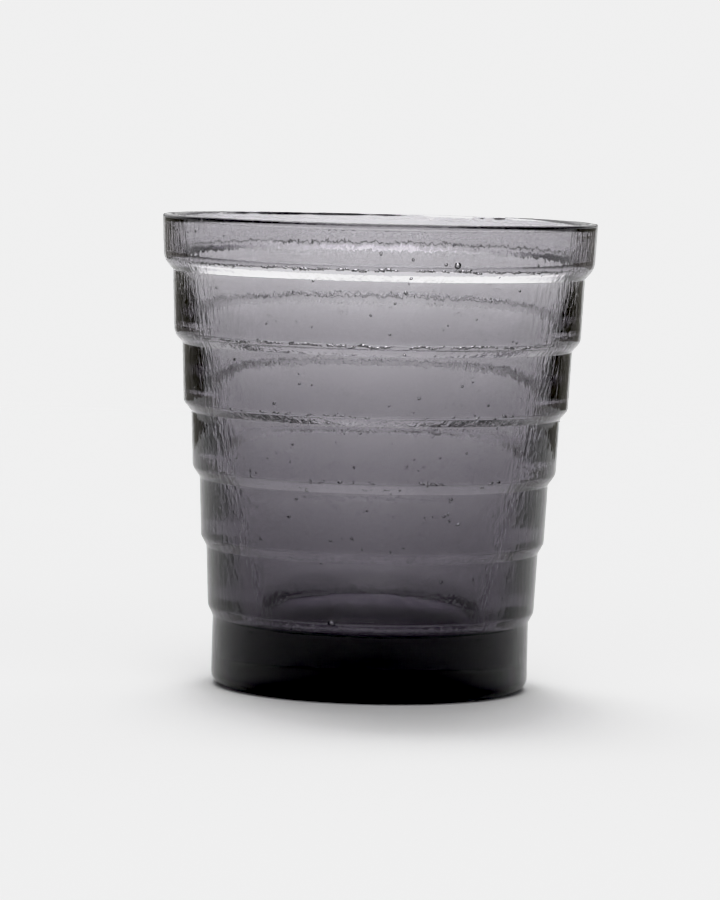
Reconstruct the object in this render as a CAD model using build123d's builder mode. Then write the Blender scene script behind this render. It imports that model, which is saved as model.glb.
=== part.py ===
from build123d import *
import os

# Whiskey tumbler: one piece of pressed glass, widening upward in seven stepped bands.
# Millimetres, +Z up. The origin is the centre of the base, on the surface the tumbler stands on.

# Overall
height = 90.0

# Outside: seven nearly cylindrical bands, from the rim band down to the base band. Each band above the
# base is given by its radius at the top, its radius at its lower lip, the height where the slanted step
# under the lip ends and the next band begins, how tall that step is, and the rounding of the lip.
rim_radius = 41.7
bands = [
    (rim_radius, 41.3, 79.3, 2.0, 3.6),
    (39.5, 39.0, 65.4, 1.85, 3.0),
    (37.4, 36.9, 52.4, 1.75, 1.6),
    (35.4, 34.9, 39.7, 2.0, 2.0),
    (33.5, 33.0, 26.5, 2.0, 2.0),
    (31.9, 31.4, 13.2, 2.0, 2.0),
]
base_radius = 30.4
root_rounding = 0.2

# Mouth and bore: the plunger's taper, easing into a steeper collar inside the rim band
bore_mouth_radius = 39.1
collar_radius = 38.1
collar_height = 79.8
collar_rounding = 115.0
bore_floor_radius = 21.5
floor_height = 11.8
floor_corner_radius = 4.5
rim_outer_edge_radius = 0.5
rim_inner_edge_radius = 1.4

# Underside: a standing ring round a shallow dome
foot_edge_radius = 2.5
ring_inner_radius = 26.0
underside_rise = 3.0


def corner_at(sketch, radius, z):
    """The vertex of a profile sketch nearest to a radius and a height."""
    return sketch.vertices().sort_by_distance((radius, z))[0]


os.makedirs("parts", exist_ok=True)

next_radii = [band[0] for band in bands[1:]] + [base_radius]

with BuildPart() as tumbler:
    with BuildSketch(Plane.XZ) as profile:
        with BuildLine():
            Line((0, underside_rise), (0, floor_height))
            Line((0, floor_height), (bore_floor_radius, floor_height))
            Line((bore_floor_radius, floor_height), (collar_radius, collar_height))
            Line((collar_radius, collar_height), (bore_mouth_radius, height))
            Line((bore_mouth_radius, height), (rim_radius, height))
            band_top = height
            for (top_radius, lip_radius, step_foot, step_height, _), next_radius in zip(bands, next_radii):
                lip = (lip_radius, step_foot + step_height)
                Line((top_radius, band_top), lip)
                Line(lip, (next_radius, step_foot))
                band_top = step_foot
            Line((base_radius, band_top), (base_radius, 0))
            Line((base_radius, 0), (ring_inner_radius, 0))
            TangentArc((0, underside_rise), (ring_inner_radius, 0), tangent=(1, 0))
        make_face()
        fillet(corner_at(profile, bore_floor_radius, floor_height), floor_corner_radius)
        fillet(corner_at(profile, collar_radius, collar_height), collar_rounding)
        fillet(corner_at(profile, bore_mouth_radius, height), rim_inner_edge_radius)
        fillet(corner_at(profile, rim_radius, height), rim_outer_edge_radius)
        fillet(corner_at(profile, base_radius, 0), foot_edge_radius)
        for (_, lip_radius, step_foot, step_height, lip_rounding), next_radius in zip(bands, next_radii):
            fillet(corner_at(profile, lip_radius, step_foot + step_height), lip_rounding)
            fillet(corner_at(profile, next_radius, step_foot), root_rounding)
    revolve(axis=Axis.Z)

tumbler.part.label = "tumbler"
export_step(tumbler.part, "parts/tumbler.step")
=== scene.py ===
import math
import random

import bmesh
import bpy
from mathutils import Matrix, Vector, noise


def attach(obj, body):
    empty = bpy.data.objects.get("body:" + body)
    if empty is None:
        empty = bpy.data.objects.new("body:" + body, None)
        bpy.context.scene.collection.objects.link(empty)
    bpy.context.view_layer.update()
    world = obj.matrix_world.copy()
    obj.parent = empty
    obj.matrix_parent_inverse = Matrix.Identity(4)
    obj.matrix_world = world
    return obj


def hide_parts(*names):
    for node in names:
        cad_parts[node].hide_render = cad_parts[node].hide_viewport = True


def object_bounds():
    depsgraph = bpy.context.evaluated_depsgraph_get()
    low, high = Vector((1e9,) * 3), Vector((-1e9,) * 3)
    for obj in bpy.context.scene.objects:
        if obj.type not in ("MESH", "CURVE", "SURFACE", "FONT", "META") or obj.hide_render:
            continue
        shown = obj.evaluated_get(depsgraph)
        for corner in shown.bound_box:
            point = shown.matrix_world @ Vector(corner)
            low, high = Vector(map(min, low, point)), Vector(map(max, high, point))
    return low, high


# A whiskey tumbler: one piece of pressed smoke-grey glass, with the seeds and chill lines inside it

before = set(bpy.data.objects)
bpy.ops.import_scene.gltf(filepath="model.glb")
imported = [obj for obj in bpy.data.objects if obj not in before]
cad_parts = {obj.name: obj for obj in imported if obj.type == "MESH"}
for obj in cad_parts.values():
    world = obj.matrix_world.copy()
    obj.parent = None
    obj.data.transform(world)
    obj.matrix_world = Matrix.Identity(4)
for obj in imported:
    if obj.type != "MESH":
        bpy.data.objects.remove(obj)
cad_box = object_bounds()

# ------------------------------------------------------------------ shape, in millimetres
MM = 0.001
HEIGHT = cad_box[1][2] / MM
RIM = 41.7

# Outside, from the rim band down: radius at the top, radius at the lower lip, the height where the slanted
# step under the lip ends and the next band begins, how tall that step is, and the rounding of the lip.
BANDS = [
    (RIM, 41.3, 79.3, 2.0, 3.6),
    (39.5, 39.0, 65.4, 1.85, 3.0),
    (37.4, 36.9, 52.4, 1.75, 1.6),
    (35.4, 34.9, 39.7, 2.0, 2.0),
    (33.5, 33.0, 26.5, 2.0, 2.0),
    (31.9, 31.4, 13.2, 2.0, 2.0),
]
BASE = 30.4
ROOT_ROUNDING = 0.2

# Mouth, bore and underside
BORE_MOUTH, BORE_FLOOR = 39.1, 21.5
COLLAR, COLLAR_HEIGHT, COLLAR_ROUNDING = 38.1, 79.8, 115.0
FLOOR_HEIGHT, FLOOR_CORNER = 11.8, 4.5
RIM_OUTER_EDGE, RIM_INNER_EDGE = 0.5, 1.4
FOOT_EDGE, RING_INNER, DOME = 2.5, 26.0, 3.0

# Unevenness of the pressed surface: depth and length of the slow waves, the share and the ratio of the
# finer ones on top of them, and the height over which both fade out above the foot
WAVE_DEPTH, WAVE_LENGTH = 0.02, 9.0
FINE_WAVE_SHARE, FINE_WAVE_RATIO = 0.35, 2.7
WAVE_FADE = 2.0

# The fire-softened rim's sag: its depth, its length round the rim and how far down it reaches
SAG_DEPTH, SAG_LENGTH, SAG_REACH = 0.16, 14.0, 4.0

# Where the fire left the rim's outer edge rounder and its inner edge sharper: turn from the front, half the
# arc, and how far it went; the two edges' roundings where it went all the way; how much that varies along
# the arc, and over how many degrees; how much sooner the inner edge changes; and the outer rounding's inset,
# which keeps it inside the slanted wall
FIRED_ARCS = [(200, 35, 1), (150, 2.4, 0.7), (143.5, 3.6, 0.85)]
FIRED_OUTER_EDGE, FIRED_INNER_EDGE = 1.6, 0.4
FIRED_WAVINESS, FIRED_WAVE_TURN = 0.4, 6.0
INNER_EDGE_LEAD, FIRED_INSET = 2.5, 1.05

# Chill lines along the lips, from the top one down: how many thin hollows string out along each, how far
# they lie under the surface, how far above the step, how far the line wanders up and down and over what
# length, the hollows' size across the wall, along it and up it, and their greatest lean
CHILL_MARKS = [420, 420, 60, 40]
CHILL_DEPTH = (0.5, 0.7)
CHILL_LIFT, CHILL_WANDER, CHILL_WANDER_LENGTH = 0.1, 0.45, 2.2
CHILL_ACROSS, CHILL_ALONG, CHILL_UP = 0.4, (0.7, 1.7), (0.25, 0.5)
CHILL_LEAN = 0.5

# Seeds: how many fine ones, the heights they lie between and, in the base, their reach from the axis; their
# sizes, their greatest stretch and lean; and how far they keep from the walls, the steps and the corner
WALL_SEEDS, BASE_SEEDS = 390, 40
WALL_SEEDS_SPAN = (16, HEIGHT - 2.5)
BASE_SEEDS_SPAN, BASE_SEEDS_RADIUS = (DOME + 1.2, FLOOR_HEIGHT - 0.8), 27.5
WALL_SEED_SIZE, WALL_SEED_EXTRA = 0.3, 0.32
BASE_SEED_SIZE = (0.22, 0.45)
SEED_STRETCH, SEED_LEAN = 1.6, 1.5
SEED_MARGIN, STEP_OVERHANG, CORNER_MARGIN = 0.6, 0.9, 1.5

# The random numbers' starting points
SEEDS_START, CHILL_START = 11, 5

# The large seeds: turn from the front, radius, height, size, stretch and lean in degrees
LARGE_SEEDS = [
    (20.6, 40.2, 82.6, 1.3, 1.0, 0),
    (62, 40.3, 85.2, 0.95, 1.0, 0),
    (65, 40.2, 83.6, 0.85, 1.0, 0),
    (-14, 29.6, 15.2, 0.9, 1.7, 80),
]

# Fineness of the mesh: faces round the axis, longest steps along the section and on its roundings, and the
# shorter steps near the rim's outer edge
AROUND = 240
LONGEST_STEP, ARC_STEP = 1.8, 0.35
RIM_STEP, RIM_ZONE = 0.2, 2.0
DOME_STEPS = 16


def bore_radius(z):
    """The bore's radius at a height: a straight taper up to the steeper collar inside the rim band."""
    if z > COLLAR_HEIGHT:
        return COLLAR + (BORE_MOUTH - COLLAR) * (z - COLLAR_HEIGHT) / (HEIGHT - COLLAR_HEIGHT)
    return BORE_FLOOR + (COLLAR - BORE_FLOOR) * (z - FLOOR_HEIGHT) / (COLLAR_HEIGHT - FLOOR_HEIGHT)


def outer_radius(z):
    """The outside radius at a height, with the lips taken as square."""
    top = HEIGHT
    for top_radius, lip_radius, foot, _, _ in BANDS:
        if z >= foot:
            return lip_radius + (top_radius - lip_radius) * (z - foot) / (top - foot)
        top = foot
    return BASE


def rounded(before, corner, after, radius):
    """Points of the arc that rounds a corner between its neighbours."""
    u, v = (before - corner).normalized(), (after - corner).normalized()
    half = u.angle(v) / 2
    centre = corner + (u + v).normalized() * (radius / math.sin(half))
    start = corner + u * (radius / math.tan(half)) - centre
    end = corner + v * (radius / math.tan(half)) - centre
    turn = start.angle_signed(end)
    count = max(4, round(abs(turn) * radius / ARC_STEP))
    return [centre + Matrix.Rotation(-turn * i / count, 2) @ start for i in range(count + 1)]


def section():
    """The section from the axis underneath, up the outside, over the rim and down the bore to the axis."""
    corners = []
    for i in range(DOME_STEPS + 1):
        t = i / DOME_STEPS
        corners.append((RING_INNER * t, DOME * (1 - t * t), 0))
    corners.append((BASE, 0, FOOT_EDGE))
    next_radii = [band[0] for band in BANDS[1:]] + [BASE]
    for (_, lip_radius, foot, step, rounding), next_radius in reversed(list(zip(BANDS, next_radii))):
        corners.append((next_radius, foot, ROOT_ROUNDING))
        corners.append((lip_radius, foot + step, rounding))
    corners.append((RIM, HEIGHT, RIM_OUTER_EDGE))
    corners.append((BORE_MOUTH, HEIGHT, RIM_INNER_EDGE))
    corners.append((COLLAR, COLLAR_HEIGHT, COLLAR_ROUNDING))
    corners.append((BORE_FLOOR, FLOOR_HEIGHT, FLOOR_CORNER))
    corners.append((0, FLOOR_HEIGHT, 0))
    places = [Vector((r, z)) for r, z, _ in corners]
    points = []
    for i, (_, _, rounding) in enumerate(corners):
        points += rounded(*places[i - 1:i + 2], rounding) if rounding else [places[i]]
    return evened(points)


def evened(points):
    """The same outline with no long steps, and the shortest about the rim's outer edge."""
    even = [points[0]]
    for point in points[1:]:
        last = even[-1]
        by_rim = min(last.x, point.x) > RIM - RIM_ZONE and max(last.y, point.y) > HEIGHT - RIM_ZONE
        longest = RIM_STEP if by_rim else LONGEST_STEP
        count = math.ceil((point - last).length / longest - 1e-6)
        even += [last.lerp(point, k / count) for k in range(1, count + 1)]
    return even


def unevenness(place, z):
    """How far the surface lies inside the true form at a place, in millimetres: never outside it."""
    if z < FOOT_EDGE:
        return 0.0
    wave = noise.noise(place / WAVE_LENGTH)
    wave += FINE_WAVE_SHARE * noise.noise(place / WAVE_LENGTH * FINE_WAVE_RATIO)
    return WAVE_DEPTH * (1 + wave) / 2 * min(1, (z - FOOT_EDGE) / WAVE_FADE)


def rim_sag(place, z):
    """How far the fire-softened rim has sunk at a place, fading out below it."""
    reach = max(0, 1 - (HEIGHT - z) / SAG_REACH)
    return SAG_DEPTH * reach * (1 + noise.noise(place / SAG_LENGTH)) / 2


def at(turn, radius, z):
    """A place in the glass; turns are in degrees from the front, towards the right."""
    angle = math.radians(turn - 90)
    return Vector((radius * math.cos(angle), radius * math.sin(angle), z))


def fired_edge(point, turn):
    """A point of the outline, moved where the fire shaped the rim's two edges differently at this turn."""
    share = 0.0
    for middle, half, depth in FIRED_ARCS:
        inside = depth * max(0, 1 - ((turn - middle) / half) ** 2) ** 0.5
        waviness = FIRED_WAVINESS * noise.noise(Vector((turn / FIRED_WAVE_TURN, 0, 0)))
        share = max(share, min(1, inside * (1 + waviness)))
    inner = Vector((BORE_MOUTH + RIM_INNER_EDGE, HEIGHT - RIM_INNER_EDGE))
    if point.x < inner.x and point.y > inner.y:
        sharper = min(1, INNER_EDGE_LEAD * share)
        radius = RIM_INNER_EDGE + (FIRED_INNER_EDGE - RIM_INNER_EDGE) * sharper
        return Vector((BORE_MOUTH + radius, HEIGHT - radius)) + (point - inner) * (radius / RIM_INNER_EDGE)
    radius = RIM_OUTER_EDGE + (FIRED_OUTER_EDGE - RIM_OUTER_EDGE) * share
    centre = Vector((RIM - FIRED_INSET * radius, HEIGHT - radius))
    away = point - centre
    if share == 0 or away.x < 0 or away.y < 0 or away.length < radius:
        return point
    return centre + away * (radius / away.length)


def tumbler_form(bm):
    """The pressed glass itself: the section turned round the axis, with its slight unevenness."""
    points = section()
    rings = []
    for i, point in enumerate(points):
        if point.x < 1e-6:
            rings.append([bm.verts.new((0, 0, point.y * MM))])
            continue
        along = points[min(i + 1, len(points) - 1)] - points[i - 1]
        inward = Vector((-along.y, along.x)).normalized()
        ring = []
        for k in range(AROUND):
            turn = 360 * k / AROUND
            fired = fired_edge(point, turn)
            out = at(turn, 1, 0)
            place = out * fired.x + Vector((0, 0, fired.y))
            moved = place + (out * inward.x + Vector((0, 0, inward.y))) * unevenness(place, point.y)
            moved.z -= rim_sag(place, point.y)
            ring.append(bm.verts.new(moved * MM))
        rings.append(ring)
    for below, above in zip(rings, rings[1:]):
        for k in range(AROUND):
            n = (k + 1) % AROUND
            if len(below) == 1:
                bm.faces.new((below[0], above[n], above[k]))
            elif len(above) == 1:
                bm.faces.new((below[k], below[n], above[0]))
            else:
                bm.faces.new((below[k], below[n], above[n], above[k]))


def ball(subdivisions):
    """The points and faces of a unit ball, its faces turned inward."""
    bm = bmesh.new()
    bmesh.ops.create_icosphere(bm, subdivisions=subdivisions, radius=1)
    points = [vert.co.copy() for vert in bm.verts]
    faces = [[vert.index for vert in reversed(face.verts)] for face in bm.faces]
    bm.free()
    return points, faces


def hollow(bm, ball_form, place, sizes, lean):
    """A closed hollow in the glass, its faces turned towards the gas: sizes across the wall, along and up."""
    shape = Matrix.Rotation(lean, 3, "X") @ Matrix.Diagonal(sizes)
    shape = Matrix.Rotation(math.atan2(place.y, place.x), 3, "Z") @ shape
    points, faces = ball_form
    verts = [bm.verts.new((place + shape @ point / 2) * MM) for point in points]
    for face in faces:
        bm.faces.new([verts[i] for i in face])


def seeds(bm):
    """Seeds scattered through the wall and the base, most of them fine, and the few large ones."""
    rng = random.Random(SEEDS_START)
    fine, coarse = ball(2), ball(3)
    for _ in range(WALL_SEEDS):
        z = rng.uniform(*WALL_SEEDS_SPAN)
        size = WALL_SEED_SIZE + WALL_SEED_EXTRA * rng.random() ** 2
        inner = bore_radius(z) + SEED_MARGIN
        if z < FLOOR_HEIGHT + FLOOR_CORNER + 1:
            inner += CORNER_MARGIN
        outer = max(inner, outer_radius(z) - SEED_MARGIN - STEP_OVERHANG)
        place = at(rng.uniform(0, 360), rng.uniform(inner, outer), z)
        sizes = (size, size, size * rng.uniform(1, SEED_STRETCH))
        hollow(bm, fine, place, sizes, rng.uniform(-SEED_LEAN, SEED_LEAN))
    for _ in range(BASE_SEEDS):
        z = rng.uniform(*BASE_SEEDS_SPAN)
        place = at(rng.uniform(0, 360), BASE_SEEDS_RADIUS * math.sqrt(rng.random()), z)
        size = rng.uniform(*BASE_SEED_SIZE)
        sizes = (size, size, size * rng.uniform(1, SEED_STRETCH))
        hollow(bm, fine, place, sizes, rng.uniform(-SEED_LEAN, SEED_LEAN))
    for turn, radius, z, size, stretch, lean in LARGE_SEEDS:
        hollow(bm, coarse, at(turn, radius, z), (size, size, size * stretch), math.radians(lean))


def chill_lines(bm):
    """Ragged lines of thin hollows just under the lips, where the skin of the glass chilled first."""
    rng = random.Random(CHILL_START)
    sliver = ball(1)
    for count, (_, lip_radius, foot, step, _) in zip(CHILL_MARKS, BANDS):
        for _ in range(count):
            turn = rng.uniform(0, 360)
            wander = CHILL_WANDER * noise.noise(at(turn, lip_radius, foot) / CHILL_WANDER_LENGTH)
            place = at(turn, lip_radius - rng.uniform(*CHILL_DEPTH), foot + step + CHILL_LIFT + wander)
            sizes = (CHILL_ACROSS, rng.uniform(*CHILL_ALONG), rng.uniform(*CHILL_UP))
            hollow(bm, sliver, place, sizes, rng.uniform(-CHILL_LEAN, CHILL_LEAN))


def glass_mesh():
    """The whole glass with its hollows, smooth all over."""
    bm = bmesh.new()
    tumbler_form(bm)
    seeds(bm)
    chill_lines(bm)
    for face in bm.faces:
        face.smooth = True
    mesh = bpy.data.meshes.new("tumbler_glass")
    bm.to_mesh(mesh)
    bm.free()
    return mesh


# ------------------------------------------------------------------ material
GLASS_INDEX = 1.52

# The tint: each metre of glass absorbs the density times what its colour lacks of white
TINT_COLOUR, TINT_DENSITY = (0.1625, 0.125, 0.20, 1), 142

# The fine ripple of the surface: its height in metres, its frequency, and how much less of that upwards
RIPPLE_HEIGHT = 0.00005
RIPPLE_SCALE, RIPPLE_UPWARDS = 1050, 0.25


def glass_material():
    """Clear smooth glass with a fine ripple, tinted smoke grey through its thickness."""
    m = bpy.data.materials.new("smoke_glass")
    m.use_nodes = True
    nt = m.node_tree
    bsdf = nt.nodes["Principled BSDF"]
    out = nt.nodes["Material Output"]
    bsdf.inputs["Base Color"].default_value = (1, 1, 1, 1)
    bsdf.inputs["Roughness"].default_value = 0.0
    bsdf.inputs["IOR"].default_value = GLASS_INDEX
    bsdf.inputs["Transmission Weight"].default_value = 1
    where = nt.nodes.new("ShaderNodeTexCoord")
    mapping = nt.nodes.new("ShaderNodeMapping")
    mapping.inputs["Scale"].default_value = (1, 1, RIPPLE_UPWARDS)
    nt.links.new(where.outputs["Object"], mapping.inputs["Vector"])
    ripple = nt.nodes.new("ShaderNodeTexNoise")
    ripple.inputs["Scale"].default_value = RIPPLE_SCALE
    ripple.inputs["Detail"].default_value = 2
    nt.links.new(mapping.outputs[0], ripple.inputs["Vector"])
    bump = nt.nodes.new("ShaderNodeBump")
    bump.inputs["Distance"].default_value = RIPPLE_HEIGHT
    nt.links.new(ripple.outputs["Fac"], bump.inputs["Height"])
    nt.links.new(bump.outputs[0], bsdf.inputs["Normal"])
    tint = nt.nodes.new("ShaderNodeVolumeAbsorption")
    tint.inputs["Color"].default_value = TINT_COLOUR
    tint.inputs["Density"].default_value = TINT_DENSITY
    nt.links.new(tint.outputs[0], out.inputs["Volume"])
    return m


# ------------------------------------------------------------------ camera
CAMERA_PLACE = (-0.0028, -0.9, 0.1126)
CAMERA_LENS, CAMERA_SENSOR = 188.1, 36
CAMERA_PITCH, CAMERA_ROLL = 4.27, 1.45

camera_data = bpy.data.cameras.new("camera")
camera_data.sensor_width = CAMERA_SENSOR
camera_data.lens = CAMERA_LENS
camera_data.clip_start = 0.01
camera = bpy.data.objects.new("camera", camera_data)
bpy.context.scene.collection.objects.link(camera)
pitch = Matrix.Rotation(math.radians(90 - CAMERA_PITCH), 4, "X")
roll = Matrix.Rotation(math.radians(CAMERA_ROLL), 4, "Z")
camera.matrix_world = Matrix.Translation(CAMERA_PLACE) @ pitch @ roll
bpy.context.scene.camera = camera

# ------------------------------------------------------------------ piece
mesh = glass_mesh()
glass = bpy.data.objects.new("tumbler_glass", mesh)
bpy.context.scene.collection.objects.link(glass)
mesh.materials.append(glass_material())
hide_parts("tumbler")
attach(glass, "root")

# ------------------------------------------------------------------ stage
BACKDROP = 0.871

# The studio's brightness by elevation in degrees: behind the tumbler, to its sides and in front of it
SKY_BACK = [
    (3, BACKDROP), (3.2, 0), (5.5, 0), (6.1, 0.85), (15.6, 0.85), (16.4, 1.25), (18.5, 1.25), (20.5, 0.9),
    (26, 0.9), (36, 1.0), (44, 2.6), (52, 3.65), (72, 3.65), (80, 2.4), (90, 1.8),
]
SKY_SIDES = [
    (3, BACKDROP), (4.5, 0.55), (12, 0.4), (17, 0.1), (60, 0.1), (70, 0.3), (80, 1.2), (90, 1.8),
]
SKY_FRONT = [
    (3, BACKDROP), (5, 0.6), (9, 1.0), (20, 1.0), (27, 0.7), (35, 1.55), (65, 1.55), (78, 1.7), (90, 1.8),
]

# How far the bright patch behind the tumbler is turned to one side, in degrees, and where one brightness
# gives way to the next, as the cosine of the turn from that patch
KEY_SIDE = -8
FRONT_TO_SIDES, SIDES_TO_BACK = (-0.9, -0.6), (0.6, 0.9)

# The lowest sine of the elevation that the sky's ramps reach
LOWEST_SINE = -0.1

# The floor: its radius in metres, its grey, the distances between which it fades into the backdrop, and the
# gap under the glass that keeps the two surfaces apart
FLOOR_RADIUS, FLOOR_GREY, FLOOR_FADE = 1.2, 0.9, (0.35, 1.0)
FLOOR_GAP = 0.00005

# The two flags: their distance and heights in metres, and the turns from the back where they start and end
FLAG_DISTANCE, FLAG_FOOT, FLAG_TOP = 0.5, -0.1, 0.08
FLAG_START, FLAG_END, FLAG_FACES = 24, 60, 16
FLAG_COLOUR = (0.36, 0.35, 0.32, 1)

# The picture's tones: the black level, and how bright the light tones below white are shown
BLACK_LEVEL = 0.033
SHOULDER = [(0.52, 0.52), (0.6, 0.66), (0.68, 0.78), (0.76, 0.84), (BACKDROP, BACKDROP)]


def by_elevation(nt, height, levels):
    """Brightness against the sine of the elevation."""
    ramp = nt.nodes.new("ShaderNodeValToRGB")
    nt.links.new(height, ramp.inputs[0])
    elements = ramp.color_ramp.elements
    while len(elements) < len(levels):
        elements.new(0.5)
    for element, (elevation, level) in zip(elements, levels):
        element.position = (math.sin(math.radians(elevation)) - LOWEST_SINE) / (1 - LOWEST_SINE)
        element.color = (level, level, level, 1)
    return ramp.outputs[0]


def blend(nt, toward, span, below, above):
    """One brightness giving way to another as the direction turns towards the back."""
    share = nt.nodes.new("ShaderNodeMapRange")
    share.interpolation_type = "SMOOTHSTEP"
    share.inputs["From Min"].default_value = span[0]
    share.inputs["From Max"].default_value = span[1]
    nt.links.new(toward, share.inputs["Value"])
    mix = nt.nodes.new("ShaderNodeMix")
    mix.data_type = "RGBA"
    nt.links.new(share.outputs[0], mix.inputs["Factor"])
    nt.links.new(below, mix.inputs[6])
    nt.links.new(above, mix.inputs[7])
    return mix.outputs[2]


def stage_world():
    """The studio round the tumbler, as a brightness for each direction."""
    world = bpy.data.worlds.new("studio")
    bpy.context.scene.world = world
    world.use_nodes = True
    nt = world.node_tree
    where = nt.nodes.new("ShaderNodeTexCoord")
    split = nt.nodes.new("ShaderNodeSeparateXYZ")
    nt.links.new(where.outputs["Generated"], split.inputs[0])
    height = nt.nodes.new("ShaderNodeMapRange")
    height.inputs["From Min"].default_value = LOWEST_SINE
    height.inputs["From Max"].default_value = 1.0
    nt.links.new(split.outputs["Z"], height.inputs["Value"])
    back = by_elevation(nt, height.outputs[0], SKY_BACK)
    sides = by_elevation(nt, height.outputs[0], SKY_SIDES)
    front = by_elevation(nt, height.outputs[0], SKY_FRONT)
    flat = nt.nodes.new("ShaderNodeVectorMath")
    flat.operation = "MULTIPLY"
    flat.inputs[1].default_value = (1, 1, 0)
    nt.links.new(where.outputs["Generated"], flat.inputs[0])
    level = nt.nodes.new("ShaderNodeVectorMath")
    level.operation = "NORMALIZE"
    nt.links.new(flat.outputs[0], level.inputs[0])
    toward = nt.nodes.new("ShaderNodeVectorMath")
    toward.operation = "DOT_PRODUCT"
    side = math.radians(KEY_SIDE)
    toward.inputs[1].default_value = (math.sin(side), math.cos(side), 0)
    nt.links.new(level.outputs[0], toward.inputs[0])
    near = blend(nt, toward.outputs["Value"], FRONT_TO_SIDES, front, sides)
    light = blend(nt, toward.outputs["Value"], SIDES_TO_BACK, near, back)
    nt.links.new(light, nt.nodes["Background"].inputs["Color"])


def floor_piece():
    """A pale round floor that fades into the backdrop."""
    mesh = bpy.data.meshes.new("floor")
    bm = bmesh.new()
    bmesh.ops.create_circle(bm, cap_ends=True, radius=FLOOR_RADIUS, segments=96)
    bm.to_mesh(mesh)
    bm.free()
    floor = bpy.data.objects.new("floor", mesh)
    floor.location.z = -FLOOR_GAP
    bpy.context.scene.collection.objects.link(floor)
    m = bpy.data.materials.new("floor")
    m.use_nodes = True
    nt = m.node_tree
    bsdf = nt.nodes["Principled BSDF"]
    bsdf.inputs["Base Color"].default_value = (FLOOR_GREY, FLOOR_GREY, FLOOR_GREY, 1)
    bsdf.inputs["Roughness"].default_value = 0.9
    bsdf.inputs["Specular IOR Level"].default_value = 0.0
    where = nt.nodes.new("ShaderNodeNewGeometry")
    length = nt.nodes.new("ShaderNodeVectorMath")
    length.operation = "LENGTH"
    fade = nt.nodes.new("ShaderNodeMapRange")
    fade.interpolation_type = "SMOOTHSTEP"
    fade.inputs["From Min"].default_value = FLOOR_FADE[0]
    fade.inputs["From Max"].default_value = FLOOR_FADE[1]
    clear = nt.nodes.new("ShaderNodeBsdfTransparent")
    mix = nt.nodes.new("ShaderNodeMixShader")
    nt.links.new(where.outputs["Position"], length.inputs[0])
    nt.links.new(length.outputs["Value"], fade.inputs["Value"])
    nt.links.new(fade.outputs[0], mix.inputs[0])
    nt.links.new(bsdf.outputs[0], mix.inputs[1])
    nt.links.new(clear.outputs[0], mix.inputs[2])
    nt.links.new(mix.outputs[0], nt.nodes["Material Output"].inputs["Surface"])
    floor.data.materials.append(m)
    return floor


def flag(start, end):
    """A dark flag behind the tumbler, beside the picture and seen only in the glass: an upright arc."""
    mesh = bpy.data.meshes.new("flag")
    bm = bmesh.new()
    rows = []
    for k in range(FLAG_FACES + 1):
        turn = math.radians(start + (end - start) * k / FLAG_FACES)
        x, y = FLAG_DISTANCE * math.sin(turn), FLAG_DISTANCE * math.cos(turn)
        rows.append([bm.verts.new((x, y, z)) for z in (FLAG_FOOT, FLAG_TOP)])
    for one, two in zip(rows, rows[1:]):
        bm.faces.new((one[0], two[0], two[1], one[1]))
    bm.to_mesh(mesh)
    bm.free()
    panel = bpy.data.objects.new("flag", mesh)
    bpy.context.scene.collection.objects.link(panel)
    panel.visible_camera = False
    panel.visible_diffuse = False
    panel.visible_shadow = False
    m = bpy.data.materials.new("flag")
    m.use_nodes = True
    bsdf = m.node_tree.nodes["Principled BSDF"]
    bsdf.inputs["Base Color"].default_value = FLAG_COLOUR
    bsdf.inputs["Specular IOR Level"].default_value = 0.0
    mesh.materials.append(m)
    return panel


stage_world()
floor_piece()
for side in (-1, 1):
    flag(side * FLAG_START, side * FLAG_END)

view = bpy.context.scene.view_settings
view.view_transform = "Standard"
view.use_curve_mapping = True
view.curve_mapping.black_level = (BLACK_LEVEL, BLACK_LEVEL, BLACK_LEVEL)
curve = view.curve_mapping.curves[3]
for level, shown in SHOULDER:
    curve.points.new(level, shown)
view.curve_mapping.update()
